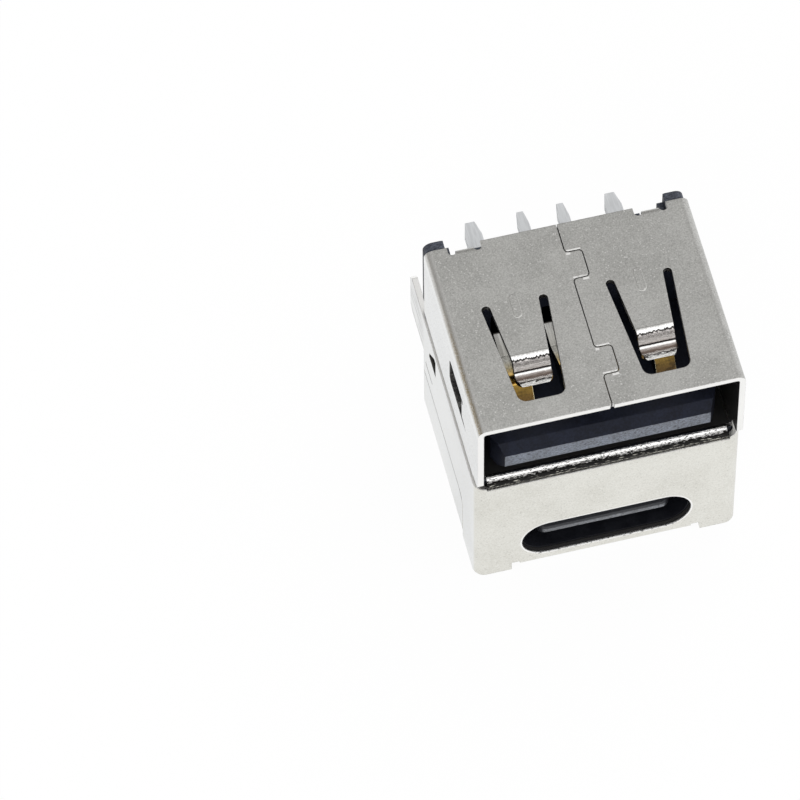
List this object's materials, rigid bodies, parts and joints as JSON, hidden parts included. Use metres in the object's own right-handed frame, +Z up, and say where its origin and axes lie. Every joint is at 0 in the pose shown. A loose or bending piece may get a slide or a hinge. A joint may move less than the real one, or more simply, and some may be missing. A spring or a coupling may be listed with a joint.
{
  "type": "usb socket module",
  "caption": "Stacked board socket: a rectangular receptacle above an oval one, in folded metal shells round a dark moulded housing, with straight solder tails and legs at the rear.",
  "frame": {"origin": "on the board plane, in the middle of the width, at the level of the flat underside", "axes": "+X to the right seen from the mouths, +Y from the mouths to the board, +Z up from the oval socket to the rectangular one"},
  "size_m": [0.0132, 0.0136, 0.0139],
  "materials": {
    "nickel_tube": "satin nickel plate",
    "nickel_cover": "satin nickel plate",
    "nickel_inner": "bright nickel plate",
    "housing_plastic": "grainy moulded",
    "tongue_plastic": "fine moulded",
    "upper_contact": "gold flash at the mouth, tin at the tail",
    "lower_contact": "gold flash at the mouth, tin at the tail"
  },
  "bodies": {
    "root": {"upper_shell": "nickel_tube", "lower_cover": "nickel_cover", "housing": "housing_plastic", "divider_shield": "nickel_inner", "lower_shell": "nickel_inner", "lower_tongue": "tongue_plastic", "mid_plate": "nickel_inner", "tail_comb": "housing_plastic", "upper_contact_1": "upper_contact", "upper_contact_2": "upper_contact", "upper_contact_3": "upper_contact", "upper_contact_4": "upper_contact", "lower_contact_u1": "lower_contact", "lower_contact_u2": "lower_contact", "lower_contact_u3": "lower_contact", "lower_contact_u4": "lower_contact", "lower_contact_u5": "lower_contact", "lower_contact_u6": "lower_contact", "lower_contact_u7": "lower_contact", "lower_contact_l1": "lower_contact", "lower_contact_l2": "lower_contact", "lower_contact_l3": "lower_contact", "lower_contact_l4": "lower_contact", "lower_contact_l5": "lower_contact", "lower_contact_l6": "lower_contact", "lower_contact_l7": "lower_contact"}
  },
  "joints": []
}
